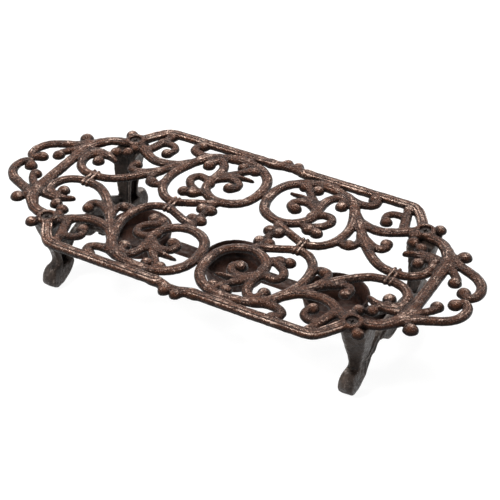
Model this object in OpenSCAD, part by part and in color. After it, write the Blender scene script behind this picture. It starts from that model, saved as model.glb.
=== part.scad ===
// Long cast iron trivet: a pierced scroll grate on two end frames, with a tealight tray below.
// The origin is the middle of the footprint at table height. X runs along the trivet.

/* [Grate] */
// Distance along the trivet between the leg screws
screw_pitch_x = 254; // [240:1:270]
// Distance across the trivet between the leg screws
screw_pitch_y = 122; // [116:1:128]
// Distance between the centre lines of the two long rails
rail_pitch = 173; // [169:1:181]
// Height of the top of the grate above the table
stand_h = 66.5; // [60:0.5:75]
// Thickness of the grate
grate_t = 5.5; // [5:0.5:7]
// Width of the main scroll bars
bar_w = 8.5; // [8:0.25:9.5]
// Width of the two long rails and their slanted ends
rail_w = 8; // [7.5:0.25:9.5]
// Diameter of the round boss over each leg
boss_d = 16; // [15:0.5:18]
// Half the width of the narrowest crevice that the casting leaves open
crevice = 0.8; // [0.4:0.1:1.2]

/* [End frames] */
// Width of a leg at its knee, along the trivet
leg_w = 24; // [20:1:28]
// Wall left round the hollow of a leg
leg_wall = 3.2; // [2.6:0.1:3.6]
// Thickness of the arched stretcher between the legs
apron_t = 4; // [3:0.5:5]
// Distance from the screw line out to the inner face of the stretcher
apron_out = 1.5; // [0.5:0.25:2.5]
// Length of the ledge that carries the end of the tray
ledge_l = 16; // [14:0.5:18]
// Width of that ledge
ledge_w = 14; // [12:0.5:18]
// Thickness of that ledge
ledge_t = 4; // [3:0.5:5]
// Diameter of the slots pierced in the stretcher
slot_d = 5; // [4:0.5:6]
// Length of those slots between the centres of their ends
slot_l = 7; // [5:0.5:9]

/* [Tealight tray] */
// Height of the underside of the tray above the table
tray_z = 22.3; // [21:0.1:24]
// Length of bare strap between the rim of an end cup and the middle of its screw
end_strap_l = 10; // [8:0.5:14]
// Inner diameter of a cup at its floor
cup_floor_d = 39.6; // [38.5:0.1:42]
// Outer diameter of a cup at its rim
cup_rim_d = 51; // [49:0.5:54]
// Height of a cup
cup_h = 15.5; // [13:0.25:18]
// Distance from the underside of the straps down to the underside of a cup
cup_drop = 5.8; // [4:0.2:7]
// Thickness of a cup's floor
cup_floor_t = 2.4; // [2:0.1:3]
// Thickness of a cup's wall
cup_wall = 2.2; // [1.8:0.1:2.6]
// Width of the straps that join the cups
strap_w = 12.5; // [10:0.5:14]
// Thickness of the straps
strap_t = 3.5; // [3:0.25:4]

/* [Screws and nuts] */
// Diameter of all screw shanks
screw_d = 5; // [4:0.5:5.5]
// Diameter of a countersunk screw head
csk_head_d = 8.6; // [8.2:0.2:9.4]
// Depth of the top of a countersunk head below the top of its boss
head_sink = 1.8; // [1:0.1:2.2]
// Length of a leg screw below its head
leg_screw_l = 10; // [8:1:12]
// Diameter of a pan screw head
pan_head_d = 9.4; // [8.6:0.2:10]
// Height of a pan screw head
pan_head_h = 3; // [2.5:0.25:3.5]
// Width of a nut across its flats
nut_af = 8; // [8:0.25:9]
// Height of a nut
nut_h = 4; // [3:0.5:4.5]
// Length of screw that stands out below a nut
thread_end = 1.5; // [1:0.5:3]
// Diameter of the cross recess in a screw head
recess_d = 4.5; // [4:0.5:5.5]
// Width of a wing of the cross recess
recess_w = 1.2; // [0.8:0.1:1.5]
// Depth of the cross recess
recess_depth = 1.6; // [1:0.1:1.8]

/* [Fits] */
// Gap round a screw in its hole
screw_gap = 0.15; // [0.1:0.05:0.3]
// Gap between the end of the tray and the stretcher
tray_gap = 0.6; // [0.3:0.1:1]

/* [Hidden] */
$fn = 48;
cut = 1;                                  // overrun of every cut
curve_steps = 2;                          // straight steps between two points of a curve
leg_h = stand_h - grate_t;                // height of an end frame
half_x = screw_pitch_x / 2;
half_y = screw_pitch_y / 2;
cone_h = (csk_head_d - screw_d) / 2;      // height of a countersunk head
leg_screw_in = leg_screw_l - (grate_t - head_sink - cone_h); // length of a leg screw inside its leg
strap_end = half_x + apron_out - tray_gap;
ledge_hole_x = half_x + apron_out - ledge_l / 2;
cup_pitch = ledge_hole_x - end_strap_l - cup_rim_d / 2;

// Places in the grate are shares of half the screw pitch. Across the trivet two of
// them are fixed: the screws and the rails.
screw_share = 0.48;
rail_share = 0.685;
rail_gain = (rail_pitch / 2 - half_y) / (rail_share - screw_share);
function across(s) = s < screw_share ? s / screw_share * half_y : half_y + (s - screw_share) * rail_gain;
function place(s) = [s[0] * half_x, across(s[1])];

// A smooth curve through a list of places
function curve_point(a, b, c, d, t) =
    (2 * b + (c - a) * t + (2 * a - 5 * b + 4 * c - d) * pow(t, 2) + (3 * (b - c) + d - a) * pow(t, 3)) / 2;
function curve(p, steps) = let (last = len(p) - 1) [
    for (i = [0:last - 1]) for (k = [0:steps - 1])
        curve_point(p[max(i - 1, 0)], p[i], p[i + 1], p[min(i + 2, last)], k / steps),
    p[last]];
function side(p, i) = let (d = p[min(i + 1, len(p) - 1)] - p[max(i - 1, 0)]) [-d[1], d[0]] / norm(d);

// Bars of one quarter of the grate: width at the start and at the end as shares of the
// bar width, then the places along the middle line.
bar_shares = [
    // ring beside the middle, with its curled end
    [1, 0.9, [[0.35, 0.612], [0.29, 0.624], [0.2, 0.61], [0.125, 0.575], [0.07, 0.52], [0.04, 0.45],
        [0.032, 0.37], [0.042, 0.295], [0.07, 0.23], [0.115, 0.19], [0.17, 0.168], [0.23, 0.165],
        [0.29, 0.187], [0.335, 0.23], [0.358, 0.29], [0.357, 0.36], [0.352, 0.43], [0.36, 0.49],
        [0.385, 0.535], [0.42, 0.552], [0.447, 0.53], [0.458, 0.485]]],
    // second loop, from the rail down to the collar and on to the bead column
    [1, 0.8, [[0.26, 0.62], [0.33, 0.62], [0.4, 0.602], [0.47, 0.565], [0.52, 0.52], [0.56, 0.44],
        [0.59, 0.36], [0.605, 0.28], [0.6, 0.2], [0.58, 0.13], [0.54, 0.075], [0.49, 0.044],
        [0.433, 0.036], [0.37, 0.06], [0.3, 0.095], [0.25, 0.115], [0.215, 0.13]]],
    // branch from the second loop to the outer collar and round to the trefoil
    [0.9, 0.9, [[0.45, 0.585], [0.51, 0.54], [0.56, 0.46], [0.62, 0.38], [0.68, 0.295], [0.74, 0.21],
        [0.8, 0.145], [0.86, 0.09], [0.92, 0.055], [0.97, 0.043], [1.015, 0.04], [1.06, 0.04],
        [1.11, 0.058], [1.155, 0.1], [1.175, 0.16], [1.168, 0.22], [1.14, 0.255]]],
    // arch from the branch to the boss
    [1, 1, [[0.58, 0.43], [0.62, 0.395], [0.68, 0.37], [0.75, 0.36], [0.8, 0.37], [0.85, 0.395],
        [0.9, 0.43], [0.95, 0.465], [1, 0.48]]],
    // end frame of the grate, from the boss to the middle
    [1.05, 1.05, [[1, 0.48], [1.045, 0.447], [1.1, 0.437], [1.155, 0.405], [1.2, 0.345], [1.225, 0.28],
        [1.236, 0.2], [1.238, 0.1], [1.238, 0]]],
    // outer scroll at the end
    [1, 0.85, [[1.19, 0.37], [1.25, 0.315], [1.31, 0.275], [1.375, 0.247], [1.435, 0.215], [1.482, 0.165],
        [1.5, 0.105], [1.493, 0.055], [1.464, 0.026], [1.435, 0.04]]],
    [0.85, 0.75, [[1.22, 0.29], [1.27, 0.235], [1.315, 0.185], [1.342, 0.15], [1.34, 0.122]]],
    // leaf stem and leaves in the ring
    [0.85, 0.75, [[0.345, 0.39], [0.315, 0.425], [0.28, 0.46], [0.235, 0.51], [0.2, 0.555], [0.19, 0.61]]],
    [0.95, 0.75, [[0.35, 0.36], [0.29, 0.405], [0.24, 0.41], [0.195, 0.385], [0.185, 0.345], [0.205, 0.318]]],
    [1, 0.2, [[0.28, 0.43], [0.24, 0.445], [0.18, 0.452], [0.13, 0.455]]],
    // small scroll between the ring and the second loop
    [0.9, 0.8, [[0.345, 0.3], [0.37, 0.325], [0.41, 0.345], [0.455, 0.343], [0.478, 0.3], [0.458, 0.25],
        [0.41, 0.215], [0.36, 0.19]]],
    // hook under the rail
    [0.95, 0.85, [[0.46, 0.575], [0.52, 0.56], [0.58, 0.562], [0.622, 0.585], [0.625, 0.625], [0.6, 0.66]]],
    // link from the arch to the rail, with its spiral
    [1, 0.9, [[0.885, 0.43], [0.868, 0.48], [0.853, 0.53], [0.838, 0.58], [0.825, 0.645]]],
    [0.9, 0.7, [[0.845, 0.56], [0.8, 0.568], [0.76, 0.56], [0.735, 0.53], [0.737, 0.49], [0.755, 0.465]]],
    // hook and little loop on the branch
    [0.95, 0.8, [[0.69, 0.275], [0.74, 0.24], [0.78, 0.215], [0.82, 0.203], [0.852, 0.21], [0.866, 0.238],
        [0.855, 0.268]]],
    [0.75, 0.75, [[0.603, 0.19], [0.62, 0.15], [0.65, 0.135], [0.685, 0.145], [0.7, 0.18], [0.7, 0.22],
        [0.69, 0.27]]],
    // trefoil leaf and the chain of buds to the boss
    [1.5, 0.5, [[1.15, 0.255], [1.1, 0.266], [1.04, 0.258], [0.985, 0.233]]],
    [0.6, 0.6, [[1.1, 0.25], [1.087, 0.19]]],
    [0.5, 0.5, [[1.075, 0.27], [1.045, 0.325], [0.98, 0.358], [0.965, 0.42], [0.985, 0.46]]],
    // knuckle where the two rail halves meet
    [1.15, 0.95, [[0.13, 0.685], [0.09, 0.688], [0.058, 0.703], [0.036, 0.73]]],
    [1, 1, [[0, 0.702], [0.05, 0.7]]],
    // necks of the beads and of the two outer balls, and the inner collar
    [0.8, 0.8, [[0.222, 0], [0.222, 0.14]]],
    [0.6, 0.6, [[1.02, 0.49], [1.065, 0.546]]],
    [0.7, 0.7, [[1.225, 0.31], [1.295, 0.37]]],
    [0.5, 0.5, [[0.433, 0], [0.433, 0.075]]]];

// Balls and buds of one quarter: place, then radius as a share of the bar width
ball_shares = [
    [0.458, 0.478, 0.6], [0.256, 0.059, 0.6], [0.2, 0.059, 0.6], [0.258, 0.56, 0.58],
    [0.172, 0.553, 0.52], [0.225, 0.325, 0.62], [0.45, 0.165, 0.6], [0.395, 0.178, 0.65],
    [0.602, 0.648, 0.66], [0.825, 0.645, 0.54], [0.757, 0.467, 0.58], [0.853, 0.268, 0.56],
    [0.667, 0.155, 0.54], [1.085, 0.187, 0.6], [1.045, 0.325, 0.6], [0.98, 0.358, 0.6],
    [0.965, 0.42, 0.6], [0.036, 0.735, 0.54], [1.065, 0.546, 0.6], [1.295, 0.37, 0.68],
    [1.42, 0.06, 0.62], [1.34, 0.122, 0.6], [1.015, 0.04, 0.7]];

// One bar of changing width along a curve
module bar(width_a, width_b, shares) {
    p = curve([for (s = shares) place(s)], curve_steps);
    last = len(p) - 1;
    w = [for (i = [0:last]) width_a + (width_b - width_a) * i / last];
    left = [for (i = [0:last]) p[i] + side(p, i) * w[i] / 2];
    right = [for (i = [0:last]) p[i] - side(p, i) * w[i] / 2];
    for (i = [0:last - 1]) polygon([left[i], left[i + 1], right[i + 1], right[i]]);
    translate(p[0]) circle(d = w[0], $fn = 12);
    translate(p[last]) circle(d = w[last], $fn = 12);
}

// Every bar, ball and boss of one quarter
module grate_quarter() {
    for (b = bar_shares) bar(b[0] * bar_w, b[1] * bar_w, b[2]);
    for (b = ball_shares) translate(place(b)) circle(r = b[2] * bar_w, $fn = 16);
    bar(rail_w, rail_w, [[0.12, rail_share], [0.82, rail_share]]);
    bar(rail_w, bar_w, [[0.8, rail_share], [0.845, 0.678], [0.885, 0.648], [0.93, 0.585], [0.97, 0.52],
        [1, screw_share]]);
    translate([half_x, half_y]) circle(d = boss_d, $fn = 32);
}

// The pierced outline of the whole grate
module grate_outline() {
    offset(delta = -crevice) offset(delta = crevice)
        for (mx = [0, 1], my = [0, 1]) mirror([mx, 0]) mirror([0, my]) grate_quarter();
}

// Puts its child at each leg screw
module at_leg_screws() {
    for (x = [-half_x, half_x], y = [-half_y, half_y]) translate([x, y, stand_h]) children();
}

// Countersunk hole with its mouth at height zero, as one turned shape
module countersunk_hole(depth) {
    hole_r = screw_d / 2 + screw_gap;
    mouth_r = csk_head_d / 2 + screw_gap;
    rotate_extrude() polygon([[0, -depth], [hole_r, -depth], [hole_r, -head_sink - cone_h],
        [mouth_r, -head_sink], [mouth_r, cut], [0, cut]]);
}

module top_grate() {
    color("#4b3e39") difference() {
        translate([0, 0, leg_h]) linear_extrude(grate_t) grate_outline();
        at_leg_screws() countersunk_hole(grate_t + cut);
    }
}

// Side outline of a leg: distance from the middle as a share of half the screw pitch,
// height as a share of the frame's height. It starts at the top on the outside.
leg_front_shares = [[1.12, 1], [1.11, 0.9], [1.08, 0.78], [1.02, 0.62], [0.96, 0.48], [0.93, 0.38],
    [0.935, 0.31], [0.98, 0.295], [1.05, 0.29], [1.11, 0.24], [1.13, 0.15], [1.1, 0.06], [1.02, 0]];
leg_back_shares = [[0.9, 0], [0.84, 0.035], [0.76, 0.1], [0.7, 0.18], [0.69, 0.28], [0.71, 0.42],
    [0.73, 0.57], [0.76, 0.74], [0.79, 0.88], [0.81, 1]];
// Front outline of a leg: distance from the screw line as a share of the knee width
leg_inner_shares = [[-0.4, 1], [-0.34, 0.92], [-0.25, 0.79], [-0.2, 0.66], [-0.18, 0.55],
    [-0.18, 0.42], [-0.19, 0.32], [-0.25, 0.23], [-0.26, 0.1], [-0.22, 0]];
leg_outer_shares = [[0.2, 0], [0.23, 0.1], [0.21, 0.22], [0.2, 0.34], [0.27, 0.47], [0.38, 0.68],
    [0.46, 0.86], [0.5, 1]];
// Lower and upper edge of the stretcher, from the leg to the middle
apron_low_shares = [[0.76, 0.1], [0.64, 0.25], [0.57, 0.29], [0.51, 0.285], [0.42, 0.365], [0.31, 0.335],
    [0.2, 0.26], [0.1, 0.19], [0, 0.175]];
apron_top_shares = [[0, 0.54], [0.2, 0.535], [0.4, 0.5], [0.55, 0.43], [0.66, 0.37], [0.76, 0.35]];
slot_place_share = [0.36, 0.43];

function scaled(shares, sx, sy) = [for (s = shares) [s[0] * sx, s[1] * sy]];

module leg_side() {
    polygon(concat(curve(scaled(leg_front_shares, half_y, leg_h), curve_steps),
                   curve(scaled(leg_back_shares, half_y, leg_h), curve_steps)));
}

module leg_front() {
    polygon(concat(curve(scaled(leg_inner_shares, leg_w, leg_h), curve_steps),
                   curve(scaled(leg_outer_shares, leg_w, leg_h), curve_steps)));
}

// Stands an outline drawn as distance across and height upright, from x_from to x_to
module upright(x_from, x_to) {
    translate([x_from, 0, 0]) rotate([90, 0, 90]) linear_extrude(x_to - x_from) children();
}

// One leg, hollow towards the middle of the trivet, with its tapped hole. X is out from the screw line.
module leg() {
    difference() {
        intersection() {
            upright(-leg_w, leg_w) leg_side();
            translate([0, half_y + leg_h, 0]) rotate([90, 0, 0]) linear_extrude(half_y + leg_h) leg_front();
        }
        intersection() {
            upright(-leg_w, apron_out) offset(delta = -leg_wall) leg_side();
            translate([0, half_y, leg_h / 2]) cube([2 * leg_w, screw_pitch_y, leg_h / 2], center = true);
        }
        translate([0, half_y, leg_h - leg_screw_in - cut]) cylinder(d = screw_d + 2 * screw_gap,
            h = leg_screw_in + 2 * cut);
    }
}

// Half of the arched stretcher, pierced by a slot
module apron_half() {
    difference() {
        upright(apron_out, apron_out + apron_t)
            polygon(concat(curve(scaled(apron_low_shares, half_y, leg_h), curve_steps),
                           curve(scaled(apron_top_shares, half_y, leg_h), curve_steps)));
        for (end = [0, 1])
            translate([0, slot_place_share[0] * half_y - end * slot_l, slot_place_share[1] * leg_h])
                rotate([0, 90, 0]) cylinder(d = slot_d, h = leg_w);
        translate([0, slot_place_share[0] * half_y - slot_l, slot_place_share[1] * leg_h - slot_d / 2])
            cube([leg_w, slot_l, slot_d]);
    }
}

// An end frame: two legs, the stretcher and the ledge for the tray
module end_frame() {
    color("#3a3836") difference() {
        union() {
            for (side = [0, 1]) mirror([0, side, 0]) {
                leg();
                apron_half();
            }
            translate([apron_out - ledge_l, -ledge_w / 2, tray_z - ledge_t])
                cube([ledge_l + apron_t, ledge_w, ledge_t]);
        }
        translate([apron_out - ledge_l / 2, 0, tray_z - ledge_t - cut])
            cylinder(d = screw_d + 2 * screw_gap, h = ledge_t + 2 * cut);
    }
}

module end_frame_right() { translate([half_x, 0, 0]) end_frame(); }
module end_frame_left() { mirror([1, 0, 0]) end_frame_right(); }

// One cup of the tray as a turned shape
module cup_body() {
    foot_r = cup_floor_d / 2 + cup_wall;
    rim_r = cup_rim_d / 2;
    translate([0, 0, -cup_drop]) rotate_extrude($fn = 96)
        polygon([[0, 0], [foot_r, 0], [rim_r, cup_h], [0, cup_h]]);
}

module cup_hollow() {
    mouth_r = cup_rim_d / 2 - cup_wall;
    translate([0, 0, -cup_drop]) rotate_extrude($fn = 96) polygon([[0, cup_floor_t],
        [cup_floor_d / 2, cup_floor_t], [mouth_r, cup_h], [mouth_r, cup_h + cut], [0, cup_h + cut]]);
}

module tealight_tray() {
    color("#30201b") translate([0, 0, tray_z]) difference() {
        union() {
            translate([-strap_end, -strap_w / 2, 0]) cube([2 * strap_end, strap_w, strap_t]);
            for (i = [-1, 0, 1]) translate([i * cup_pitch, 0, 0]) cup_body();
        }
        for (i = [-1, 0, 1]) translate([i * cup_pitch, 0, 0]) cup_hollow();
        for (x = [-ledge_hole_x, ledge_hole_x]) translate([x, 0, -cut])
            cylinder(d = screw_d + 2 * screw_gap, h = strap_t + 2 * cut);
    }
}

// Cross recess cut down from height zero
module cross_recess() {
    for (turn = [0, 90]) rotate(turn) translate([-recess_d / 2, -recess_w / 2, -recess_depth])
        cube([recess_d, recess_w, recess_depth + cut]);
}

// Countersunk leg screw with the top of its head at height zero
module grate_screw() {
    color("#2b2624") difference() {
        union() {
            translate([0, 0, -cone_h]) cylinder(d1 = screw_d, d2 = csk_head_d, h = cone_h);
            translate([0, 0, -cone_h - leg_screw_l]) cylinder(d = screw_d, h = leg_screw_l + cut);
        }
        cross_recess();
    }
}

module grate_screw_at(x, y) { translate([x, y, stand_h - head_sink]) grate_screw(); }
module grate_screw_front_left() { grate_screw_at(-half_x, -half_y); }
module grate_screw_front_right() { grate_screw_at(half_x, -half_y); }
module grate_screw_back_left() { grate_screw_at(-half_x, half_y); }
module grate_screw_back_right() { grate_screw_at(half_x, half_y); }

// Pan head screw that holds the end of the tray, seated on the strap
module tray_screw(x) {
    shank_l = strap_t + ledge_t + nut_h + thread_end;
    color("#2b2624") translate([x, 0, tray_z + strap_t]) difference() {
        union() {
            cylinder(d = pan_head_d, h = pan_head_h);
            translate([0, 0, -shank_l]) cylinder(d = screw_d, h = shank_l + cut);
        }
        translate([0, 0, pan_head_h]) cross_recess();
    }
}

// Hexagon nut under the ledge
module tray_nut(x) {
    color("#2b2624") translate([x, 0, tray_z - ledge_t - nut_h]) difference() {
        cylinder(d = nut_af / cos(30), h = nut_h, $fn = 6);
        translate([0, 0, -cut]) cylinder(d = screw_d + 2 * screw_gap, h = nut_h + 2 * cut);
    }
}

module tray_screw_left() { tray_screw(-ledge_hole_x); }
module tray_screw_right() { tray_screw(ledge_hole_x); }
module tray_nut_left() { tray_nut(-ledge_hole_x); }
module tray_nut_right() { tray_nut(ledge_hole_x); }

top_grate();
end_frame_left();
end_frame_right();
tealight_tray();
grate_screw_front_left();
grate_screw_front_right();
grate_screw_back_left();
grate_screw_back_right();
tray_screw_left();
tray_screw_right();
tray_nut_left();
tray_nut_right();
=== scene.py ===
import math

import bpy
import numpy as np
from mathutils import Matrix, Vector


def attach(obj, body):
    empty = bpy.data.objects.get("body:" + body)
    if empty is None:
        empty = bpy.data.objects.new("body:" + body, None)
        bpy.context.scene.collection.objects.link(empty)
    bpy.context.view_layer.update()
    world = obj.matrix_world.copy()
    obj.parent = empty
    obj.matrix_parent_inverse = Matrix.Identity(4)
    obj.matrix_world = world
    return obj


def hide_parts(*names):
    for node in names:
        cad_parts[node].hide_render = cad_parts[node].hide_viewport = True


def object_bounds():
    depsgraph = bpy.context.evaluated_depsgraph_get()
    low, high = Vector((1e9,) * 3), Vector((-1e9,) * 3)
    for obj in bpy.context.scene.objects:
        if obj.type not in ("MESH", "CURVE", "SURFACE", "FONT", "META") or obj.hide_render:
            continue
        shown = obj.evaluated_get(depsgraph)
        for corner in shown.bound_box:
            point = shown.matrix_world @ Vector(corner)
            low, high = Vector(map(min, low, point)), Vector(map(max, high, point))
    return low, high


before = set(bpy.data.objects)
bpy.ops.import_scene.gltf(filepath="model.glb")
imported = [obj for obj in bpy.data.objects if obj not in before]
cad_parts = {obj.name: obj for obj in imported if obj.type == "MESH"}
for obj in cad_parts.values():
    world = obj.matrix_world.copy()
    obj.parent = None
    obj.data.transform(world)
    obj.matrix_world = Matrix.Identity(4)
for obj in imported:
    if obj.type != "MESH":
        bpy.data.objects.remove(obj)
cad_box = [list(corner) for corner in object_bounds()]

MM = 0.001

# Driving sizes, in millimetres, the same as the construction model
HALF_X = 127.0
HALF_Y = 61.0
RAIL_HALF = 86.5
SCREW_SHARE = 0.48
RAIL_SHARE = 0.685
STAND_H = 66.5
GRATE_T = 5.5
BAR_W = 8.5
RAIL_W = 8.0
BOSS_D = 16.0
LEG_H = STAND_H - GRATE_T
LEG_W = 24.0
LEG_WALL = 3.2
APRON_OUT = 1.5
APRON_T = 4.0
LEDGE_L = 16.0
LEDGE_W = 14.0
LEDGE_T = 4.0
SLOT_D = 5.0
SLOT_L = 7.0
TRAY_Z = 22.3
CUP_FLOOR_D = 39.6
CUP_RIM_D = 51.0
CUP_H = 15.5
CUP_DROP = 5.8
CUP_FLOOR_T = 2.4
CUP_WALL = 2.2
STRAP_W = 12.5
STRAP_T = 3.5
TRAY_GAP = 0.6
END_STRAP_L = 10.0
SCREW_X = HALF_X + APRON_OUT - LEDGE_L / 2
CUP_PITCH = SCREW_X - END_STRAP_L - CUP_RIM_D / 2
STRAP_END = HALF_X + APRON_OUT - TRAY_GAP
SCREW_D = 5.0
HEAD_D = 8.6
HEAD_SINK = 1.8
LEG_SCREW_IN = 9.1
SCREW_GAP = 0.15

# Room left inside the height of the grate, before the surface is roughened: the bars stay lower by
# BOSS_PROUD and end UNDER_GAP above the legs, the screw bosses lose BOSS_TRIM above and below
BOSS_PROUD = 0.4
BAR_TOP = STAND_H - BOSS_PROUD
UNDER_GAP = 0.2
BOSS_TRIM = 0.1

# Radii of rounded edges, in millimetres
BAR_ROUND = 3.0
RAIL_ROUND = 1.9
UNDER_ROUND = 1.0
BOSS_ROUND = 1.6
APRON_ROUND = 0.9
STRAP_ROUND = 0.8
CUP_ROUND = 0.9

# Fillets between joined shapes and at cut edges, in millimetres
BAR_FILLET = 1.6
BALL_FILLET = 0.8
COLLAR_FILLET = 0.5
BOSS_FILLET = 1.5
SINK_FILLET = 0.6
LEG_FILLET = 1.0
TOE_FILLET = 0.7
APRON_FILLET = 2.0
LEDGE_FILLET = 1.0
STRAP_FILLET = 1.6
CUP_FILLET = 2.4
EDGE_FILLET = 0.8

# Two grooves run along a bar and along the rail: distance from the middle line, width and depth,
# in millimetres. The depth of a bar's grooves stands in the table of bars
BAR_GROOVE_OUT = 2.4
BAR_GROOVE_W = 0.75
RAIL_GROOVE_OUT = 1.9
RAIL_GROOVE_W = 0.7
RAIL_GROOVE = 0.5

# The rail's crest lies this far below BAR_TOP
RAIL_DROP = 0.1

# Balls are flattened to this share of their radius
BALL_SQUASH = 0.85

# Collar ridges: radius and height over BAR_TOP in mm, and how far they pass the bar, as a share
COLLAR_R = 1.5
COLLAR_PROUD = 0.2
COLLAR_PAST = 0.028

# The slanted face of a countersink is nearer than its distance measured sideways, by about this share
SINK_SLANT = 0.8

# A leg is folded along a ridge: its place as a share of the width, the lean on both sides of it, the
# share of the height in which the fold runs out, and how far it fades towards the foot
RIDGE_SHARE = -0.09
FOLD_IN = 0.75
FOLD_OUT = 0.35
FOLD_END_SHARE = 0.1
FOLD_FOOT_H = 12
FOLD_FOOT_LEAST = 0.25

# The ball of a curled foot: its place across and up, and its radii along, across and up
TOE_Y = 63.4
TOE_Z = 10.8
TOE_RADII = (5.6, 6.0, 6.6)

# The stretcher loses APRON_SUNK on both faces and gets a lip there: height, distance of its crest
# from the outline, and width
APRON_SUNK = 0.6
LIP_H = 0.9
LIP_IN = 1.1
LIP_W = 1.0

# Grids of the distance fields, in millimetres: step, extent and free room round the shape.
# GRATE_LIFT raises all the layers of the grate's grid
GRATE_STEP = 0.65
FRAME_STEP = 0.7
TRAY_STEP = 0.7
GRATE_X = 198
GRATE_Y = 105
GRATE_ROOM_STEPS = 3
GRATE_LIFT = 0.3
FRAME_X = 20
FRAME_Y = 74
TRAY_ROOM_X = 4
TRAY_ROOM_Y = 3
ROOM = 2.1

# How far round its points a shape of the grate is worked out, and a distance beyond every shape
REACH = 12
FAR = 50.0

# The rough surface stays this far inside the construction model
INSET = 0.02

# The skin of a casting: wide lumps, then fine ones, each as a height in mm and a size in grid steps
GRATE_SKIN = ((0.16, 7), (0.1, 2.6))
FRAME_SKIN = ((0.14, 6), (0.08, 2.4))
TRAY_SKIN = ((0.1, 8), (0.06, 2.6))
GRATE_SEED = 1
RIGHT_FRAME_SEED = 11
LEFT_FRAME_SEED = 21
TRAY_SEED = 31

# Wear and painted light of a piece, for worn specks with painted highlight on bulges and painted shade in
# hollows: on a flat face, its change with the bulge of the surface, and the change's limits
GRATE_WEAR_AND_PAINTED_LIGHT = (0.45, 0.5, -0.4, 0.55)
FRAME_WEAR_AND_PAINTED_LIGHT = (0.25, 0.35, -0.25, 0.5)
TRAY_WEAR_AND_PAINTED_LIGHT = (0.15, 0.3, -0.15, 0.45)

# On the grate the wear and painted light fall off this far below the top, so lower down the bars get the
# full painted shade, and they drop round the screws to a least share
WEAR_AND_HIGHLIGHT_DEPTH = 3.5
BOSS_FADE_R = 12
BOSS_FADE_LEAST = 0.25

# Points that a curve gets from one place to the next
BAR_STEPS = 5
OUTLINE_STEPS = 4


# Curves and places

def across(share):
    """Millimetres from the middle line. The screws and the rail have fixed shares."""
    if share < SCREW_SHARE:
        return share / SCREW_SHARE * HALF_Y
    return HALF_Y + (share - SCREW_SHARE) * (RAIL_HALF - HALF_Y) / (RAIL_SHARE - SCREW_SHARE)


def place(share):
    """A point in millimetres from its shares along and across."""
    return (share[0] * HALF_X, across(share[1]))


def curve(points, steps):
    """A smooth curve through a list of points."""
    p = np.array(points, float)
    last = len(p) - 1
    out = []
    for i in range(last):
        a, b, c, d = p[max(i - 1, 0)], p[i], p[i + 1], p[min(i + 2, last)]
        for k in range(steps):
            t = k / steps
            out.append((2 * b + (c - a) * t + (2 * a - 5 * b + 4 * c - d) * t ** 2
                        + (3 * (b - c) + d - a) * t ** 3) / 2)
    out.append(p[last])
    return np.array(out)


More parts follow.
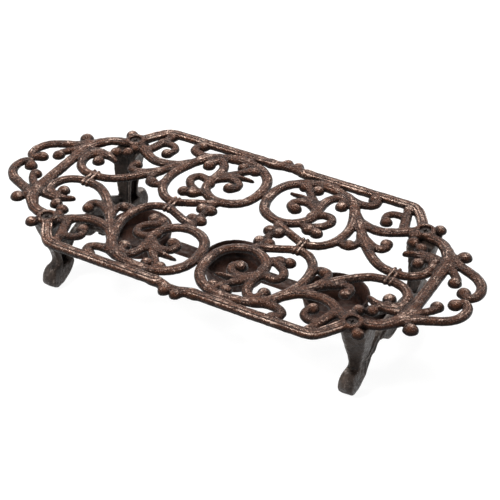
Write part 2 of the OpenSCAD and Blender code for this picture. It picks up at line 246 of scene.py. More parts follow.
# Bars of one quarter of the grate: start and end width as shares of the bar width, how far the
# crest lies below BAR_TOP in mm, groove depth in mm, then the places
BARS = [
    (1.0, 0.9, 0.5, 0.45, [(0.35, 0.612), (0.29, 0.624), (0.2, 0.61), (0.125, 0.575), (0.07, 0.52),
        (0.04, 0.45), (0.032, 0.37), (0.042, 0.295), (0.07, 0.23), (0.115, 0.19), (0.17, 0.168),
        (0.23, 0.165), (0.29, 0.187), (0.335, 0.23), (0.358, 0.29), (0.357, 0.36), (0.352, 0.43),
        (0.36, 0.49), (0.385, 0.535), (0.42, 0.552), (0.447, 0.53), (0.458, 0.485)]),
    (1.0, 0.8, 0.5, 0.45, [(0.26, 0.62), (0.33, 0.62), (0.4, 0.602), (0.47, 0.565), (0.52, 0.52),
        (0.56, 0.44), (0.59, 0.36), (0.605, 0.28), (0.6, 0.2), (0.58, 0.13), (0.54, 0.075),
        (0.49, 0.044), (0.433, 0.036), (0.37, 0.06), (0.3, 0.095), (0.25, 0.115), (0.215, 0.13)]),
    (0.9, 0.9, 0.5, 0.45, [(0.45, 0.585), (0.51, 0.54), (0.56, 0.46), (0.62, 0.38), (0.68, 0.295),
        (0.74, 0.21), (0.8, 0.145), (0.86, 0.09), (0.92, 0.055), (0.97, 0.043), (1.015, 0.04),
        (1.06, 0.04), (1.11, 0.058), (1.155, 0.1), (1.175, 0.16), (1.168, 0.22), (1.14, 0.255)]),
    (1.0, 1.0, 0.6, 0.45, [(0.58, 0.43), (0.62, 0.395), (0.68, 0.37), (0.75, 0.36), (0.8, 0.37),
        (0.85, 0.395), (0.9, 0.43), (0.95, 0.465), (1.0, 0.48)]),
    (1.05, 1.05, 0.4, 0.55, [(1.0, 0.48), (1.045, 0.447), (1.1, 0.437), (1.155, 0.405), (1.2, 0.345),
        (1.225, 0.28), (1.236, 0.2), (1.238, 0.1), (1.238, 0.0), (1.238, -0.1)]),
    (1.0, 0.85, 0.6, 0.3, [(1.19, 0.37), (1.25, 0.315), (1.31, 0.275), (1.375, 0.247), (1.435, 0.215),
        (1.482, 0.165), (1.5, 0.105), (1.493, 0.055), (1.464, 0.026), (1.435, 0.04)]),
    (0.85, 0.75, 1.0, 0.0, [(1.22, 0.29), (1.27, 0.235), (1.315, 0.185), (1.342, 0.15), (1.34, 0.122)]),
    (0.85, 0.75, 1.0, 0.0, [(0.345, 0.39), (0.315, 0.425), (0.28, 0.46), (0.235, 0.51), (0.2, 0.555),
        (0.19, 0.61)]),
    (0.95, 0.75, 0.9, 0.0, [(0.35, 0.36), (0.29, 0.405), (0.24, 0.41), (0.195, 0.385), (0.185, 0.345),
        (0.205, 0.318)]),
    (1.0, 0.2, 0.9, 0.5, [(0.28, 0.43), (0.24, 0.445), (0.18, 0.452), (0.13, 0.455)]),
    (0.9, 0.8, 1.0, 0.0, [(0.345, 0.3), (0.37, 0.325), (0.41, 0.345), (0.455, 0.343), (0.478, 0.3),
        (0.458, 0.25), (0.41, 0.215), (0.36, 0.19)]),
    (0.95, 0.85, 0.9, 0.2, [(0.46, 0.575), (0.52, 0.56), (0.58, 0.562), (0.622, 0.585), (0.625, 0.625),
        (0.6, 0.66)]),
    (1.0, 0.9, 0.9, 0.0, [(0.885, 0.43), (0.868, 0.48), (0.853, 0.53), (0.838, 0.58), (0.825, 0.645)]),
    (0.9, 0.7, 1.2, 0.0, [(0.845, 0.56), (0.8, 0.568), (0.76, 0.56), (0.735, 0.53), (0.737, 0.49),
        (0.755, 0.465)]),
    (0.95, 0.8, 1.0, 0.0, [(0.69, 0.275), (0.74, 0.24), (0.78, 0.215), (0.82, 0.203), (0.852, 0.21),
        (0.866, 0.238), (0.855, 0.268)]),
    (0.75, 0.75, 1.2, 0.0, [(0.603, 0.19), (0.62, 0.15), (0.65, 0.135), (0.685, 0.145), (0.7, 0.18),
        (0.7, 0.22), (0.69, 0.27)]),
    (1.5, 0.5, 0.8, 0.5, [(1.15, 0.255), (1.1, 0.266), (1.04, 0.258), (0.985, 0.233)]),
    (0.6, 0.6, 1.3, 0.0, [(1.1, 0.25), (1.087, 0.19)]),
    (0.5, 0.5, 1.5, 0.0, [(1.075, 0.27), (1.045, 0.325), (0.98, 0.358), (0.965, 0.42), (0.985, 0.46)]),
    (1.15, 0.95, 0.4, 0.3, [(0.13, 0.685), (0.09, 0.688), (0.058, 0.703), (0.036, 0.73)]),
    (1.0, 1.0, 0.9, 0.0, [(-0.05, 0.7), (0.0, 0.702), (0.05, 0.7)]),
    (0.8, 0.8, 1.6, 0.0, [(0.222, -0.04), (0.222, 0.14)]),
    (0.6, 0.6, 1.5, 0.0, [(1.02, 0.49), (1.065, 0.546)]),
    (0.7, 0.7, 1.2, 0.0, [(1.225, 0.31), (1.295, 0.37)])]

# Balls and buds of one quarter: place, then radius as a share of the bar width
BALLS = [
    (0.458, 0.478, 0.6), (0.256, 0.059, 0.6), (0.2, 0.059, 0.6), (0.258, 0.56, 0.58),
    (0.172, 0.553, 0.52), (0.225, 0.325, 0.62), (0.45, 0.165, 0.6), (0.395, 0.178, 0.65),
    (0.602, 0.648, 0.66), (0.825, 0.645, 0.54), (0.757, 0.467, 0.58), (0.853, 0.268, 0.56),
    (0.667, 0.155, 0.54), (1.085, 0.187, 0.6), (1.045, 0.325, 0.6), (0.98, 0.358, 0.6),
    (0.965, 0.42, 0.6), (0.036, 0.735, 0.54), (1.065, 0.546, 0.6), (1.295, 0.37, 0.68),
    (1.42, 0.06, 0.62), (1.34, 0.122, 0.6)]

# Collars bind two bars: place, and the distance between their two ridges in mm
COLLARS = [(0.433, 0.036, 3.4), (1.015, 0.04, 3.8)]

# The rail runs straight from near the middle, then slants in to the screw
RAIL_START = (0.12, RAIL_SHARE)
RAIL_END = [(0.8, RAIL_SHARE), (0.845, 0.678), (0.885, 0.648), (0.93, 0.585), (0.97, 0.52),
            (1.0, SCREW_SHARE)]


# Solids as distance fields on a regular grid

def smooth_min(a, b, k):
    """The smaller of two distances, with a fillet where they differ by less than k."""
    h = np.maximum(k - np.abs(a - b), 0) / k
    return np.minimum(a, b) - h * h * k / 4


def smooth_max(a, b, k):
    return -smooth_min(-a, -b, k)


def lattice_noise(shape, cell, seed):
    """Smooth random numbers from -1 to 1 on a grid, with lumps about cell grid steps across."""
    rng = np.random.default_rng(seed)
    coarse = [int(n / cell) + 3 for n in shape]
    values = rng.uniform(-1, 1, coarse)
    for axis, n in enumerate(shape):
        at = np.arange(n) / cell
        low = at.astype(int)
        t = at - low
        t = t * t * (3 - 2 * t)
        t = t.reshape([-1 if a == axis else 1 for a in range(3)])
        values = np.take(values, low, axis) * (1 - t) + np.take(values, low + 1, axis) * t
    return values


def segment_distance(x, y, a, b):
    """Distance of each point from the segment a to b, and how far along it is, from 0 to 1."""
    dx, dy = b[0] - a[0], b[1] - a[1]
    t = np.clip(((x - a[0]) * dx + (y - a[1]) * dy) / max(dx * dx + dy * dy, 1e-9), 0, 1)
    return np.hypot(x - a[0] - t * dx, y - a[1] - t * dy), t


def polygon_distance(x, y, corners):
    """Signed distance of each point from a closed polygon, negative inside."""
    best = np.full(np.broadcast(x, y).shape, FAR)
    inside = np.zeros(best.shape, bool)
    for a, b in zip(corners, np.roll(corners, -1, axis=0)):
        best = np.minimum(best, segment_distance(x, y, a, b)[0])
        if a[1] != b[1]:
            crosses = (a[1] > y) != (b[1] > y)
            inside ^= crosses & (x < (b[0] - a[0]) * (y - a[1]) / (b[1] - a[1]) + a[0])
    return np.where(inside, -best, best)


def rounded(lateral, vertical, radius):
    """Distance from a shape that is lateral by vertical, with its corners rounded."""
    a = lateral + radius
    b = vertical + radius
    return np.minimum(np.maximum(a, b), 0) + np.hypot(np.maximum(a, 0), np.maximum(b, 0)) - radius


def surface_points(field, inside):
    """The cells of the grid that the surface passes through, and its place in each, in grid steps."""
    last = np.array(field.shape) - 1
    corners = np.array([(i, j, k) for i in (0, 1) for j in (0, 1) for k in (0, 1)])
    views = [inside[i:last[0] + i, j:last[1] + j, k:last[2] + k] for i, j, k in corners]
    some = np.logical_or.reduce(views)
    every = np.logical_and.reduce(views)
    cells = np.argwhere(some & ~every)
    value = np.stack([field[tuple((cells + c).T)] for c in corners], 1)
    total = np.zeros(cells.shape)
    count = np.zeros(len(cells))
    for a in range(8):
        for b in range(a + 1, 8):
            if np.abs(corners[a] - corners[b]).sum() != 1:
                continue
            hit = (value[:, a] < 0) != (value[:, b] < 0)
            t = np.where(hit, value[:, a] / np.where(hit, value[:, a] - value[:, b], 1), 0)
            total += hit[:, None] * (corners[a] + t[:, None] * (corners[b] - corners[a]))
            count += hit
    return cells, cells + total / count[:, None]


def surface_quads(inside, cells):
    """Faces that join the cells round every grid edge that the surface crosses."""
    index = np.full(np.array(inside.shape) - 1, -1)
    index[tuple(cells.T)] = np.arange(len(cells))
    quads = []
    for axis in range(3):
        u, v = [a for a in range(3) if a != axis]
        low = np.take(inside, range(inside.shape[axis] - 1), axis)
        high = np.take(inside, range(1, inside.shape[axis]), axis)
        edges = np.argwhere(low != high)
        flip = low[tuple(edges.T)] == (axis != 1)
        ring = []
        for du, dv in ((-1, -1), (0, -1), (0, 0), (-1, 0)):
            at = edges.copy()
            at[:, u] += du
            at[:, v] += dv
            ring.append(index[tuple(at.T)])
        ring = np.stack(ring, 1)
        ring[~flip] = ring[~flip][:, ::-1]
        quads.append(ring)
    return np.concatenate(quads)


def surface_mesh(name, field, origin, step, wear_and_painted_light_numbers, fade=None):
    """Turns a distance field into a closed mesh object, with its wear and painted light as a vertex
    attribute.
    """
    inside = field < 0
    cells, places = surface_points(field, inside)
    points = places * step + origin
    quads = surface_quads(inside, cells)
    mesh = bpy.data.meshes.new(name)
    mesh.vertices.add(len(points))
    mesh.vertices.foreach_set("co", (points * MM).ravel())
    mesh.loops.add(quads.size)
    mesh.loops.foreach_set("vertex_index", quads.ravel().astype(np.int32))
    mesh.polygons.add(len(quads))
    mesh.polygons.foreach_set("loop_start", np.arange(0, quads.size, 4, dtype=np.int32))
    mesh.update(calc_edges=True)
    mesh.shade_smooth()
    flat, change, lowest, highest = wear_and_painted_light_numbers
    # High on bulges and raised tops, where it gives pale worn specks that are also painted highlight; low
    # in hollows, where it gives painted shade
    wear_and_painted_light = flat + np.clip(convexity(field, step)[tuple(cells.T)] * change, lowest, highest)
    if fade:
        wear_and_painted_light = fade(points) * wear_and_painted_light
    attribute = mesh.attributes.new("wear_and_painted_light", "FLOAT", "POINT")
    attribute.data.foreach_set("value", wear_and_painted_light.astype(np.float32))
    piece = bpy.data.objects.new(name, mesh)
    bpy.context.collection.objects.link(piece)
    return piece


def convexity(field, step):
    """How strongly the surface bulges, from the curvature of its distance field."""
    total = -6 * field[1:-1, 1:-1, 1:-1]
    for axis in range(3):
        for shift in (0, 2):
            cut = [slice(1, -1)] * 3
            cut[axis] = slice(shift, field.shape[axis] - 2 + shift)
            total = total + field[tuple(cut)]
    return np.pad(total / step ** 2, 1)


def mirrored(field, axes):
    """A field with its mirror image in front of it, along each of the axes."""
    for axis in axes:
        field = np.concatenate([np.flip(field, axis), field], axis)
    return field


def roughened(field, skin, seed):
    """A field with the lumps of a cast surface."""
    (wide, wide_cell), (fine, fine_cell) = skin
    lumps = wide * lattice_noise(field.shape, wide_cell, seed)
    return field + (lumps + fine * lattice_noise(field.shape, fine_cell, seed + 1))


# The grate

def ribbon_distance(x, y, path, width):
    """Distance from the edge of a ribbon of changing width, and from its middle line."""
    side = np.full(x.shape, FAR)
    middle = np.full(x.shape, FAR)
    for a, b, wa, wb in zip(path[:-1], path[1:], width[:-1], width[1:]):
        d, t = segment_distance(x, y, a, b)
        near = d - (wa + (wb - wa) * t) / 2
        middle = np.where(near < side, d, middle)
        side = np.minimum(side, near)
    return side, middle


def domed(side, top, z, radius):
    """A flat outline made into a bar with a rounded top and a flat underside."""
    upper = rounded(side[..., None], z - top[..., None], radius)
    lower = rounded(side[..., None], LEG_H + UNDER_GAP - z, UNDER_ROUND)
    return np.maximum(upper, lower)


def bar_field(x, y, z, bar):
    """One bar, with two shallow grooves along it."""
    share_a, share_b, drop, groove, shares = bar
    path = curve([place(s) for s in shares], BAR_STEPS)
    width = np.linspace(share_a, share_b, len(path)) * BAR_W
    side, middle = ribbon_distance(x, y, path, width)
    top = BAR_TOP - drop - groove * np.exp(-((middle - BAR_GROOVE_OUT) / BAR_GROOVE_W) ** 2)
    return domed(side, top, z, BAR_ROUND)


def rail_field(x, y, z):
    """The long rail and its slanted end, with two long grooves."""
    slant = curve([place(s) for s in RAIL_END], BAR_STEPS)
    path = np.concatenate([[place(RAIL_START)], slant])
    width = np.concatenate([[RAIL_W], np.linspace(RAIL_W, BAR_W, len(slant))])
    side, middle = ribbon_distance(x, y, path, width)
    groove = RAIL_GROOVE * np.exp(-((middle - RAIL_GROOVE_OUT) / RAIL_GROOVE_W) ** 2)
    return domed(side, BAR_TOP - RAIL_DROP - groove, z, RAIL_ROUND)


def ball_field(x, y, z, centre, radius):
    """A flattened ball as high as the bars, cut off at the underside of the grate."""
    high = radius * BALL_SQUASH
    d = np.sqrt(((x - centre[0]) ** 2 + (y - centre[1]) ** 2)[..., None] / radius ** 2
                + ((z - BAR_TOP + high) / high) ** 2)
    return np.maximum((d - 1) * high, LEG_H - z)


def collar_field(x, y, z, a, b):
    """One ridge of a collar, from a to b."""
    side = segment_distance(x, y, a, b)[0] - COLLAR_R
    return domed(side, np.full(x.shape, BAR_TOP + COLLAR_PROUD), z, BAR_ROUND)


def boss_field(x, y, z):
    """The round boss of a screw."""
    side = np.hypot(x - HALF_X, y - HALF_Y) - BOSS_D / 2
    return rounded(side[..., None], np.abs(z - LEG_H - GRATE_T / 2) - GRATE_T / 2 + BOSS_TRIM, BOSS_ROUND)


def countersink(x, y, z):
    """Distance into the screw hole and its cone, positive inside."""
    depth = STAND_H - HEAD_SINK - z
    cone = HEAD_D / 2 - np.clip(depth, 0, (HEAD_D - SCREW_D) / 2) + SCREW_GAP
    return (cone - np.hypot(x - HALF_X, y - HALF_Y)[..., None]) * SINK_SLANT


def grate_quarter(xs, ys, zs):
    """One quarter of the grate, from its middle outwards."""
    field = np.full((len(xs), len(ys), len(zs)), FAR)

    def add(points, make, blend):
        points = np.array(points)
        low = points.min(0) - REACH
        high = points.max(0) + REACH
        i, j = [slice(max(int(a / GRATE_STEP), 0), max(int(b / GRATE_STEP), 1)) for a, b in zip(low, high)]
        x, y = np.meshgrid(xs[i], ys[j], indexing="ij")
        field[i, j] = smooth_min(field[i, j], make(x, y, zs), blend)

    for bar in BARS:
        add([place(s) for s in bar[4]], lambda x, y, z: bar_field(x, y, z, bar), BAR_FILLET)
    add([place((0, RAIL_SHARE)), place((1, SCREW_SHARE))], rail_field, BAR_FILLET)
    for x_share, y_share, r_share in BALLS:
        centre = place((x_share, y_share))
        add([centre], lambda x, y, z: ball_field(x, y, z, centre, r_share * BAR_W), BALL_FILLET)
    for x_share, y_share, apart in COLLARS:
        for shift in (-apart / 2, apart / 2):
            a = np.array(place((x_share, 0))) + (shift, 0)
            b = np.array(place((x_share, y_share + COLLAR_PAST))) + (shift, 0)
            add([a, b], lambda x, y, z: collar_field(x, y, z, a, b), COLLAR_FILLET)
    add([(HALF_X, HALF_Y)], boss_field, BOSS_FILLET)
    x, y = np.meshgrid(xs, ys, indexing="ij")
    return smooth_max(field, countersink(x, y, zs), SINK_FILLET)


def grate_fade(points):
    """Wear and painted highlight fade down the sides of the bars, where painted shade takes over, and
    round the screws.
    """
    up = np.clip((points[:, 2] - STAND_H + WEAR_AND_HIGHLIGHT_DEPTH) / WEAR_AND_HIGHLIGHT_DEPTH, 0, 1)
    from_boss = np.hypot(np.abs(points[:, 0]) - HALF_X, np.abs(points[:, 1]) - HALF_Y)
    return up * np.clip(from_boss / BOSS_FADE_R, BOSS_FADE_LEAST, 1)


def build_grate():
    """The pierced scroll grate, made as one quarter and mirrored, then roughened as a casting."""
    xs, ys = [(np.arange(int(size / GRATE_STEP)) + 0.5) * GRATE_STEP for size in (GRATE_X, GRATE_Y)]
    layers = int(GRATE_T / GRATE_STEP) + 2 * GRATE_ROOM_STEPS + 1
    zs = LEG_H - GRATE_ROOM_STEPS * GRATE_STEP + GRATE_LIFT + np.arange(layers) * GRATE_STEP
    field = roughened(mirrored(grate_quarter(xs, ys, zs), (1, 0)), GRATE_SKIN, GRATE_SEED)
    field = np.maximum(field, zs - STAND_H + INSET)
    for axis in (0, 1):
        edge = cad_box[1][axis] / MM - INSET
        line = (np.arange(field.shape[axis]) + 0.5) * GRATE_STEP - field.shape[axis] * GRATE_STEP / 2
        field = np.maximum(field, np.expand_dims(np.abs(line) - edge, [a for a in range(3) if a != axis]))
    origin = np.array([-xs[-1], -ys[-1], zs[0]])
    return surface_mesh("scroll_grate", field, origin, GRATE_STEP, GRATE_WEAR_AND_PAINTED_LIGHT, grate_fade)


# The end frames. The leg's front and back and the stretcher are outlines in the plane of the frame,
# as shares of HALF_Y and LEG_H. The leg's inner and outer side are shares of LEG_W and LEG_H.
# The stretcher's outline runs past the middle plane, where its mirrored halves join

LEG_FRONT = [(1.12, 1), (1.11, 0.9), (1.08, 0.78), (1.02, 0.62), (0.96, 0.48), (0.93, 0.38), (0.935, 0.31),
             (0.98, 0.295), (1.05, 0.29), (1.11, 0.24), (1.13, 0.15), (1.1, 0.06), (1.02, 0)]
LEG_BACK = [(0.9, 0), (0.84, 0.035), (0.76, 0.1), (0.7, 0.18), (0.69, 0.28), (0.71, 0.42), (0.73, 0.57),
            (0.76, 0.74), (0.79, 0.88), (0.81, 1)]
LEG_INNER = [(-0.4, 1), (-0.34, 0.92), (-0.25, 0.79), (-0.2, 0.66), (-0.18, 0.55), (-0.18, 0.42),
             (-0.19, 0.32), (-0.25, 0.23), (-0.26, 0.1), (-0.22, 0)]
LEG_OUTER = [(0.2, 0), (0.23, 0.1), (0.21, 0.22), (0.2, 0.34), (0.27, 0.47), (0.38, 0.68), (0.46, 0.86),
             (0.5, 1)]
APRON_LOW = [(0.76, 0.1), (0.64, 0.25), (0.57, 0.29), (0.51, 0.285), (0.42, 0.365), (0.31, 0.335),
             (0.2, 0.26), (0.1, 0.19), (0, 0.175), (-0.1, 0.19)]
APRON_TOP = [(-0.1, 0.54), (0, 0.54), (0.2, 0.535), (0.4, 0.5), (0.55, 0.43), (0.66, 0.37), (0.76, 0.35)]
SLOT_PLACE = (0.36, 0.43)


def outline(first, second, size_x, size_y):
    """A closed outline in millimetres from two curves of shares."""
    halves = []
    for half in (first, second):
        halves.append(curve([(s[0] * size_x, s[1] * size_y) for s in half], OUTLINE_STEPS))
    return np.concatenate(halves)


def leg_field(x, y, z):
    """One leg with a ridged face and a curled foot, hollow on its inner side."""
    ridge = RIDGE_SHARE * LEG_W
    fold = FOLD_IN * np.maximum(ridge - x, 0) + FOLD_OUT * np.maximum(x - ridge, 0)
    ending = fold * (LEG_H - z) / (FOLD_END_SHARE * LEG_H)
    fold = np.where(z > (1 - FOLD_END_SHARE) * LEG_H, ending, fold)
    fold = fold * np.clip(z / FOLD_FOOT_H, FOLD_FOOT_LEAST, 1)
    side = polygon_distance(y + np.clip(fold, 0, FAR), z, outline(LEG_FRONT, LEG_BACK, HALF_Y, LEG_H))
    front = polygon_distance(x, z, outline(LEG_INNER, LEG_OUTER, LEG_W, LEG_H))
    along, over, up = TOE_RADII
    toe = np.sqrt((x / along) ** 2 + ((y - TOE_Y) / over) ** 2 + ((z - TOE_Z) / up) ** 2)
    solid = smooth_min(smooth_max(side, front, LEG_FILLET), (toe - 1) * over, TOE_FILLET)
    hollow = np.maximum(side + LEG_WALL, x - APRON_OUT)
    hollow = np.maximum(hollow, np.abs(z - LEG_H / 2) - LEG_H / 4)
    return smooth_max(solid, -hollow, EDGE_FILLET)


def apron_field(x, y, z):
    """Half of the arched stretcher, with its slot and its raised lip."""
    face = polygon_distance(y, z, outline(APRON_LOW, APRON_TOP, HALF_Y, LEG_H))
    slot_y, slot_z = SLOT_PLACE[0] * HALF_Y, SLOT_PLACE[1] * LEG_H
    slot = segment_distance(y, z, (slot_y, slot_z), (slot_y - SLOT_L, slot_z))[0] - SLOT_D / 2
    face = smooth_max(face, -slot, EDGE_FILLET)
    lip = LIP_H * np.exp(-((face + LIP_IN) / LIP_W) ** 2)
    slab = np.abs(x - APRON_OUT - APRON_T / 2) - APRON_T / 2 - lip + APRON_SUNK
    return rounded(face, slab, APRON_ROUND)


def ledge_field(x, y, z):
    """Half of the ledge that carries the tray. It ends halfway into the stretcher."""
    flat = np.abs(x - APRON_OUT + LEDGE_L / 2 - APRON_T / 4) - LEDGE_L / 2 - APRON_T / 4
    return np.maximum(np.maximum(flat, y - LEDGE_W / 2), np.abs(z - TRAY_Z + LEDGE_T / 2) - LEDGE_T / 2)


def frame_holes(x, y, z):
    """The holes for the tray's screw and for a leg's screw, in one half of the frame."""
    tray_hole = np.hypot(x - APRON_OUT + LEDGE_L / 2, y) - SCREW_D / 2 - SCREW_GAP
    leg_hole = np.hypot(x, y - HALF_Y) - SCREW_D / 2 - SCREW_GAP
    return (np.maximum(tray_hole, np.abs(z - TRAY_Z + LEDGE_T / 2) - LEDGE_T),
            np.maximum(leg_hole, LEG_H - LEG_SCREW_IN - z))


def build_frame(name, sign, seed):
    """One end frame: two legs, the stretcher between them and the ledge, in one casting."""
    xs = np.arange(-FRAME_X, FRAME_X + FRAME_STEP, FRAME_STEP)
    ys = (np.arange(int(FRAME_Y / FRAME_STEP)) + 0.5) * FRAME_STEP
    zs = np.arange(-ROOM, LEG_H + ROOM, FRAME_STEP)
    x, y, z = xs[:, None, None], ys[None, :, None], zs[None, None, :]
    solid = smooth_min(leg_field(x, y, z), apron_field(x, y, z), APRON_FILLET)
    solid = smooth_min(solid, ledge_field(x, y, z), LEDGE_FILLET)
    for hole in frame_holes(x, y, z):
        solid = np.maximum(solid, -hole)
    solid = roughened(mirrored(solid, (1,)), FRAME_SKIN, seed)
    solid = np.maximum(solid, INSET - z)
    solid = np.maximum(solid, z - LEG_H + INSET)
    origin = np.array([xs[0], -ys[-1], zs[0]])
    piece = surface_mesh(name, solid, origin, FRAME_STEP, FRAME_WEAR_AND_PAINTED_LIGHT)
    turn = Matrix.Rotation(0 if sign > 0 else math.pi, 4, "Z")
    piece.data.transform(Matrix.Translation((sign * HALF_X * MM, 0, 0)) @ turn)
    return piece


# The tray

def cup_shapes(side, up):
    """The outside and the inside of a tapered cup, from the distance to its axis and the height."""
    slope = (CUP_RIM_D / 2 - CUP_FLOOR_D / 2 - CUP_WALL) / CUP_H
    outer = (side - CUP_FLOOR_D / 2 - CUP_WALL - slope * up) * math.cos(math.atan(slope))
    inner_slope = (CUP_RIM_D / 2 - CUP_WALL - CUP_FLOOR_D / 2) / (CUP_H - CUP_FLOOR_T)
    inner = side - CUP_FLOOR_D / 2 - inner_slope * (up - CUP_FLOOR_T)
    return (rounded(outer, np.abs(up - CUP_H / 2) - CUP_H / 2, CUP_ROUND),
            smooth_max(inner, CUP_FLOOR_T - up, CUP_FILLET))


def tray_quarter(x, y, z):
    """One quarter of the tray, z counted from the underside of the strap."""
    strap_side = np.maximum(x - STRAP_END, y - STRAP_W / 2)
    solid = rounded(strap_side, np.abs(z - STRAP_T / 2) - STRAP_T / 2, STRAP_ROUND)
    hollow = np.full(x.shape, FAR)
    for centre in (0, CUP_PITCH):
        outside, inside = cup_shapes(np.hypot(x - centre, y), z + CUP_DROP)
        solid = smooth_min(solid, outside, STRAP_FILLET)
        hollow = np.minimum(hollow, inside)
    solid = smooth_max(solid, -hollow, EDGE_FILLET)
    return np.maximum(solid, -(np.hypot(x - SCREW_X, y) - SCREW_D / 2 - SCREW_GAP))


def build_tray():
    """Three tapered cups on one strap, in one casting."""
    sizes = (STRAP_END + TRAY_ROOM_X, CUP_RIM_D / 2 + TRAY_ROOM_Y)
    xs, ys = [(np.arange(int(size / TRAY_STEP)) + 0.5) * TRAY_STEP for size in sizes]
    zs = TRAY_Z - CUP_DROP - ROOM + np.arange(int((CUP_H + 2 * ROOM) / TRAY_STEP) + 1) * TRAY_STEP
    quarter = tray_quarter(*np.meshgrid(xs, ys, zs - TRAY_Z, indexing="ij"))
    solid = roughened(mirrored(quarter, (1, 0)), TRAY_SKIN, TRAY_SEED)
    solid = np.maximum(solid, np.abs(zs - TRAY_Z + CUP_DROP - CUP_H / 2) - CUP_H / 2 + INSET)
    origin = np.array([-xs[-1], -ys[-1], zs[0]])
    return surface_mesh("cast_tealight_tray", solid, origin, TRAY_STEP, TRAY_WEAR_AND_PAINTED_LIGHT)


# Materials. Layers of noise: lumps per metre, detail and roughness

WIDE_CLOUDS = (90, 4, 0.6)
FINE_CLOUDS = (620, 3, 0.7)
SPECKS = (850, 4, 0.8)
PATCHES = (160, 3, 0.6)
GLOSS = (400, 3, 0.6)
FINE_GRAIN = (1100, 4, 0.65)
COARSE_GRAIN = (330, 3, 0.6)

# Where the clouds turn from dark to brown, and the specks from dull to pale
CLOUD_STOPS = (0.37, 0.6)
SPECK_STOPS = (0.3, 0.7)
DULL_SHARE = 0.6

# Pale worn metal, partly a painted highlight, shows where the wear and painted light value, specks and
# patches together pass a level, with an edge this sharp
SPECK_LEVEL = 0.85
PATCH_LEVEL = 0.55
WORN_AND_HIGHLIGHT_EDGE = 3.2

# Painted shade: surfaces with a low wear and painted light value, in hollows and low on the bars, keep at
# least this share of their colour
HOLLOW_SHADE = 0.12

# Roughness grows by this much between two levels of the gloss noise
GLOSS_LEVELS = (0.35, 0.65)
GLOSS_SPAN = 0.4

# Strength of the shine of the skin that isn't metallic
SPECULAR = 0.32

# Height of the grain bump in metres, and the weight of its coarse layer
GRAIN_HEIGHT = 0.0012
COARSE_WEIGHT = 1.4


def new_material(name):
    material = bpy.data.materials.new(name)
    material.use_nodes = True
    return material, material.node_tree.nodes, material.node_tree.links


def noise(nodes, links, layer):
    """Noise in object space."""
    scale, detail, rough = layer
    where = nodes.new("ShaderNodeTexCoord")
    texture = nodes.new("ShaderNodeTexNoise")
    texture.inputs["Scale"].default_value = scale
    texture.inputs["Detail"].default_value = detail
    texture.inputs["Roughness"].default_value = rough
    links.new(where.outputs["Object"], texture.inputs["Vector"])
    return texture.outputs["Fac"]


def ramp(nodes, links, source, stops):
    """A change from one colour to another, each with the level where it stands."""
    node = nodes.new("ShaderNodeValToRGB")
    for element, (at, colour) in zip(node.color_ramp.elements, stops):
        element.position = at
        element.color = (*colour, 1)
    links.new(source, node.inputs["Fac"])
    return node.outputs["Color"]


def join(links, value, socket):
    """Sets a number on a socket, or links another node's output to it."""
    if isinstance(value, (int, float)):
        socket.default_value = value
    else:
        links.new(value, socket)


def mixed(nodes, links, factor, a, b, blend="MIX"):
    node = nodes.new("ShaderNodeMix")
    node.data_type = "RGBA"
    node.blend_type = blend
    for socket, value in (("Factor", factor), ("A", a), ("B", b)):
        join(links, value, node.inputs[socket])
    return node.outputs["Result"]


def math_node(nodes, links, operation, a, b, clamp=False):
    node = nodes.new("ShaderNodeMath")
    node.operation = operation
    node.use_clamp = clamp
    for socket, value in zip(node.inputs, (a, b)):
        join(links, value, socket)
    return node.outputs["Value"]


def skin_colour(nodes, links, wear_and_painted_light, dark, brown, unshaded_level):
    """Rust brown clouds, with painted shade: darker where the wear and painted light value is below the
    given level.
    """
    wide = noise(nodes, links, WIDE_CLOUDS)
    clouds = math_node(nodes, links, "ADD", wide, noise(nodes, links, FINE_CLOUDS))
    clouds = math_node(nodes, links, "MULTIPLY", clouds, 0.5)
    clouds = ramp(nodes, links, clouds, zip(CLOUD_STOPS, (dark, brown)))
    if not unshaded_level:
        return clouds
    # Painted shade darkens hollows and the lower sides of the bars
    shade = ramp(nodes, links, wear_and_painted_light, [(0, (HOLLOW_SHADE,) * 3), (unshaded_level, (1,) * 3)])
    return mixed(nodes, links, 1, clouds, shade, "MULTIPLY")


def worn_and_highlight_colour(nodes, links, wear_and_painted_light, skin, worn_and_highlight, wear_and_highlight_gain):
    """Pale worn metal specks over the skin, partly painted highlight and glints, mostly on raised edges
    and tops.
    """
    specks = noise(nodes, links, SPECKS)
    patches = noise(nodes, links, PATCHES)
    amount = math_node(nodes, links, "MULTIPLY", wear_and_painted_light, wear_and_highlight_gain)
    for layer, level in ((specks, SPECK_LEVEL), (patches, PATCH_LEVEL)):
        amount = math_node(nodes, links, "ADD", amount, math_node(nodes, links, "SUBTRACT", layer, level))
    amount = math_node(nodes, links, "MULTIPLY", amount, WORN_AND_HIGHLIGHT_EDGE, clamp=True)
    dull = tuple(c * DULL_SHARE for c in worn_and_highlight)
    # The pale colour stands partly for worn metal and partly for painted highlight
    return mixed(nodes, links, amount, skin, ramp(nodes, links, specks, zip(SPECK_STOPS, (dull, worn_and_highlight))))


def patchy_roughness(nodes, links, smoothest):
    rough = nodes.new("ShaderNodeMapRange")
    rough.inputs["From Min"].default_value, rough.inputs["From Max"].default_value = GLOSS_LEVELS
    rough.inputs["To Min"].default_value = smoothest
    rough.inputs["To Max"].default_value = smoothest + GLOSS_SPAN
    links.new(noise(nodes, links, GLOSS), rough.inputs["Value"])
    return rough.outputs["Result"]


def grain_bump(nodes, links, strength):
    coarse = math_node(nodes, links, "MULTIPLY", noise(nodes, links, COARSE_GRAIN), COARSE_WEIGHT)
    bump = nodes.new("ShaderNodeBump")
    bump.inputs["Strength"].default_value = strength
    bump.inputs["Distance"].default_value = GRAIN_HEIGHT
    height = math_node(nodes, links, "ADD", noise(nodes, links, FINE_GRAIN), coarse)
    links.new(height, bump.inputs["Height"])
    return bump.outputs["Normal"]


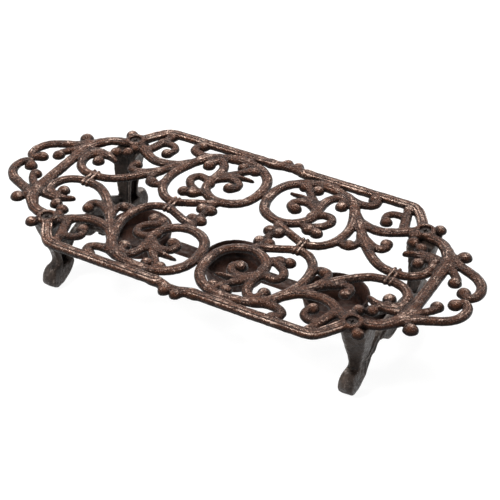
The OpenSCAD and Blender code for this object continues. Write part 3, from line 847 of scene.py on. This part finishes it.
def cast_iron(name, dark, brown, worn_and_highlight, wear_and_highlight_gain, grain, metallic, smoothest, unshaded_level=0.0):
    """Sand-cast iron: brown clouds, painted shade in hollows, pale worn specks with painted highlight on
    raised edges, and a grain.
    """
    material, nodes, links = new_material(name)
    shader = nodes["Principled BSDF"]
    # This vertex value drives the painted shade and the pale worn specks with painted highlight
    attribute = nodes.new("ShaderNodeAttribute")
    attribute.attribute_name = "wear_and_painted_light"
    wear_and_painted_light = attribute.outputs["Fac"]
    skin = skin_colour(nodes, links, wear_and_painted_light, dark, brown, unshaded_level)
    links.new(worn_and_highlight_colour(nodes, links, wear_and_painted_light, skin, worn_and_highlight, wear_and_highlight_gain), shader.inputs["Base Color"])
    links.new(patchy_roughness(nodes, links, smoothest), shader.inputs["Roughness"])
    links.new(grain_bump(nodes, links, grain), shader.inputs["Normal"])
    shader.inputs["Metallic"].default_value = metallic
    shader.inputs["Specular IOR Level"].default_value = SPECULAR
    return material


def seen_directly(nodes, links):
    """One for camera, mirror and see-through rays, nothing for the light that falls on the object."""
    path = nodes.new("ShaderNodeLightPath")
    seen = math_node(nodes, links, "MAXIMUM", path.outputs["Is Camera Ray"], path.outputs["Is Glossy Ray"])
    return math_node(nodes, links, "MAXIMUM", seen, path.outputs["Is Transmission Ray"])


# Area lights, all aimed at the origin: name, place and size in metres, power in watts, tint
LIGHTS = [
    ("key_left", (-0.6, -0.85, 1.2), (0.3, 0.3), 21, (1, 0.985, 0.97)),
    ("back_soft", (-0.6, 1.2, 1.05), (0.9, 0.3), 40, (1, 0.97, 0.94)),
    ("front_fill", (-0.4, -1.7, 0.45), (0.8, 0.5), 3, (1, 0.99, 0.98))]

# The floor in metres, the light it throws back, and the white that only the camera and mirrors see
FLOOR_SIZE = 6.0
FLOOR_DROP = 0.0002
FLOOR_GREY = 0.14
FLOOR_GLOW = 0.95

# Strength of the surroundings: as light on the object, and as seen by the camera and mirrors
WORLD_LIGHT = 0.025
WORLD_SEEN = 1.0

# The photograph's viewpoint: unit vectors to the right, up and along the view, and place in metres.
# Then the sensor's width and the lens in millimetres, and the nearest distance seen in metres
VIEW_RIGHT = (0.87183, 0.4898, 0.0)
VIEW_UP = (-0.29032, 0.51677, 0.8054)
VIEW_ALONG = (-0.39449, 0.70217, -0.59273)
VIEW_PLACE = (0.46575, -0.80624, 0.72551)
SENSOR_W = 36
LENS = 110.65
NEAREST = 0.05


def studio_floor():
    """White floor: its own glow gives the white in the picture, and it keeps the soft shadow."""
    bpy.ops.mesh.primitive_plane_add(size=FLOOR_SIZE, location=(0, 0, -FLOOR_DROP))
    floor = bpy.context.object
    floor.name = "studio_floor"
    material, nodes, links = new_material("floor_white")
    nodes.remove(nodes["Principled BSDF"])
    diffuse = nodes.new("ShaderNodeBsdfDiffuse")
    diffuse.inputs["Color"].default_value = (FLOOR_GREY, FLOOR_GREY, FLOOR_GREY, 1)
    glow = nodes.new("ShaderNodeEmission")
    strength = math_node(nodes, links, "MULTIPLY", seen_directly(nodes, links), FLOOR_GLOW)
    links.new(strength, glow.inputs["Strength"])
    both = nodes.new("ShaderNodeAddShader")
    links.new(diffuse.outputs["BSDF"], both.inputs[0])
    links.new(glow.outputs["Emission"], both.inputs[1])
    links.new(both.outputs["Shader"], nodes["Material Output"].inputs["Surface"])
    floor.data.materials.append(material)


def area_light(name, place_m, size, power, tint):
    data = bpy.data.lights.new(name, "AREA")
    data.shape = "RECTANGLE"
    data.size, data.size_y = size
    data.energy = power
    data.color = tint
    light = bpy.data.objects.new(name, data)
    bpy.context.collection.objects.link(light)
    light.location = place_m
    direction = -light.location
    light.rotation_euler = direction.to_track_quat("-Z", "Y").to_euler()


def studio_lights():
    for light in LIGHTS:
        area_light(*light)
    world = bpy.data.worlds.new("studio_world")
    bpy.context.scene.world = world
    world.use_nodes = True
    nodes, links = world.node_tree.nodes, world.node_tree.links
    back = nodes["Background"]
    level = nodes.new("ShaderNodeMapRange")
    level.inputs["To Min"].default_value = WORLD_LIGHT
    level.inputs["To Max"].default_value = WORLD_SEEN
    links.new(seen_directly(nodes, links), level.inputs["Value"])
    links.new(level.outputs["Result"], back.inputs["Strength"])
    back.inputs["Color"].default_value = (1, 1, 1, 1)


def camera():
    """A camera at the photograph's viewpoint."""
    data = bpy.data.cameras.new("photo_camera")
    data.sensor_width = SENSOR_W
    data.lens = LENS
    data.clip_start = NEAREST
    cam = bpy.data.objects.new("photo_camera", data)
    bpy.context.collection.objects.link(cam)
    turn = Matrix((VIEW_RIGHT, VIEW_UP, [-a for a in VIEW_ALONG])).transposed()
    cam.matrix_world = Matrix.Translation(VIEW_PLACE) @ turn.to_4x4()
    bpy.context.scene.camera = cam


def dress(piece, node, material):
    piece.data.materials.append(material)
    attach(piece, "root")
    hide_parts(node)


# Each iron's pale worn colour is partly painted highlight, and its last level sets where painted shade
# ends
iron_grate = cast_iron(
    "iron_grate", dark=(0.015, 0.005, 0.0025), brown=(0.085, 0.03, 0.013), worn_and_highlight=(0.55, 0.4, 0.325),
    wear_and_highlight_gain=0.8, grain=0.9, metallic=0.7, smoothest=0.14, unshaded_level=0.5)
iron_frame = cast_iron(
    "iron_frame", dark=(0.018, 0.013, 0.011), brown=(0.064, 0.044, 0.034), worn_and_highlight=(0.3, 0.255, 0.23),
    wear_and_highlight_gain=0.8, grain=0.45, metallic=0.35, smoothest=0.28, unshaded_level=0.24)
iron_tray = cast_iron(
    "iron_tray", dark=(0.014, 0.005, 0.003), brown=(0.055, 0.02, 0.011), worn_and_highlight=(0.14, 0.08, 0.06),
    wear_and_highlight_gain=0.5, grain=0.35, metallic=0.1, smoothest=0.5, unshaded_level=0.14)
steel = cast_iron(
    "dark_screw_steel", dark=(0.006, 0.003, 0.002), brown=(0.018, 0.008, 0.005),
    worn_and_highlight=(0.05, 0.025, 0.018), wear_and_highlight_gain=0.4, grain=0.25, metallic=0.0, smoothest=0.6)

dress(build_grate(), "top_grate", iron_grate)
right_frame = build_frame("cast_end_frame_right", 1, RIGHT_FRAME_SEED)
dress(right_frame, "end_frame_right", iron_frame)
left_frame = build_frame("cast_end_frame_left", -1, LEFT_FRAME_SEED)
dress(left_frame, "end_frame_left", iron_frame)
dress(build_tray(), "tealight_tray", iron_tray)
for node_name, node_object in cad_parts.items():
    if "screw" in node_name or "nut" in node_name:
        node_object.data.materials.clear()
        node_object.data.materials.append(steel)

studio_floor()
studio_lights()
camera()
bpy.context.scene.view_settings.view_transform = "Standard"
